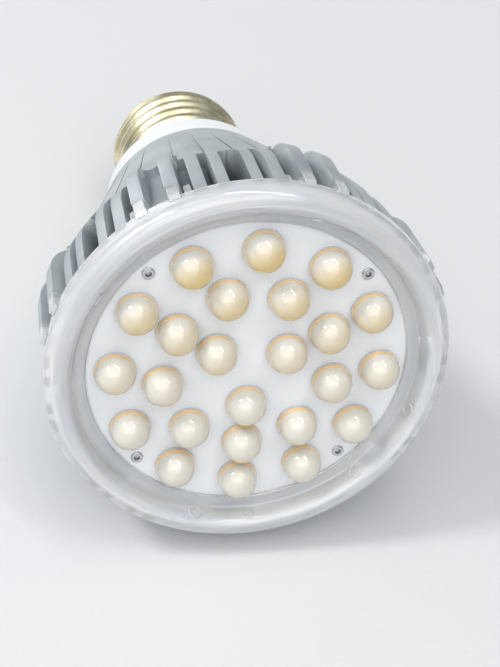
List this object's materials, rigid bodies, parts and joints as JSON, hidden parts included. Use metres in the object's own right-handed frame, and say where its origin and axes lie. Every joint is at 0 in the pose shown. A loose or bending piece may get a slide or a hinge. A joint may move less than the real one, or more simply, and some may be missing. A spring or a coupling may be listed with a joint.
{
  "type": "led par bulb",
  "caption": "Reflector-shaped LED lamp: finned metal heat sink, bare LEDs on a white disc in a clear ring, white collar and a medium screw base.",
  "frame": {"origin": "on the lamp's axis where the rim of the screw shell meets the shoulder of the collar", "axes": "+Z along the axis towards the light, -Z out through the screw base; +X through a gap between two LEDs of the outer ring, +Y through one of its LEDs"},
  "size_m": [0.0602, 0.0602, 0.0894],
  "materials": {
    "cast_aluminium": "satin cast",
    "white_collar": "gloss",
    "clear_ring": "clear gloss",
    "white_board": "satin white",
    "led_body": "milky gloss over amber",
    "steel": "plain",
    "brass_shell": "bright",
    "black_insulator": "gloss",
    "grey_pad": "matt",
    "white_cap": "matt",
    "green_board": "satin",
    "black_moulding": "matt",
    "ferrite": "matt",
    "yellow_tape": "satin",
    "blue_coating": "gloss",
    "red_case": "gloss",
    "buff_coating": "matt",
    "red_wire": "satin",
    "black_wire": "satin",
    "white_wire": "satin"
  },
  "bodies": {
    "root": {"base_insulator": "black_insulator", "board_rivets": "steel", "bridge_rectifier": "black_moulding", "centre_contact": "steel", "choke": "ferrite", "driver_board": "green_board", "driver_chip": "black_moulding", "driver_housing": "white_collar", "film_capacitor": "red_case", "fuse_resistor": "buff_coating", "heat_sink": "cast_aluminium", "housing_screws": "steel", "input_capacitor": "black_moulding", "led_board": "white_board", "led_inner_01": "led_body", "led_inner_02": "led_body", "led_inner_03": "led_body", "led_middle_01": "led_body", "led_middle_02": "led_body", "led_middle_03": "led_body", "led_middle_04": "led_body", "led_middle_05": "led_body", "led_middle_06": "led_body", "led_middle_07": "led_body", "led_middle_08": "led_body", "led_middle_09": "led_body", "led_outer_01": "led_body", "led_outer_02": "led_body", "led_outer_03": "led_body", "led_outer_04": "led_body", "led_outer_05": "led_body", "led_outer_06": "led_body", "led_outer_07": "led_body", "led_outer_08": "led_body", "led_outer_09": "led_body", "led_outer_10": "led_body", "led_outer_11": "led_body", "led_outer_12": "led_body", "led_wire_negative": "black_wire", "led_wire_positive": "red_wire", "live_wire": "black_wire", "neutral_wire": "white_wire", "output_capacitor": "black_moulding", "output_diode": "black_moulding", "screw_shell": "brass_shell", "sleeve_cap": "white_cap", "thermal_pad": "grey_pad", "transformer_coil": "yellow_tape", "transformer_core": "ferrite", "trim_ring": "clear_ring", "varistor": "blue_coating"}
  },
  "joints": []
}
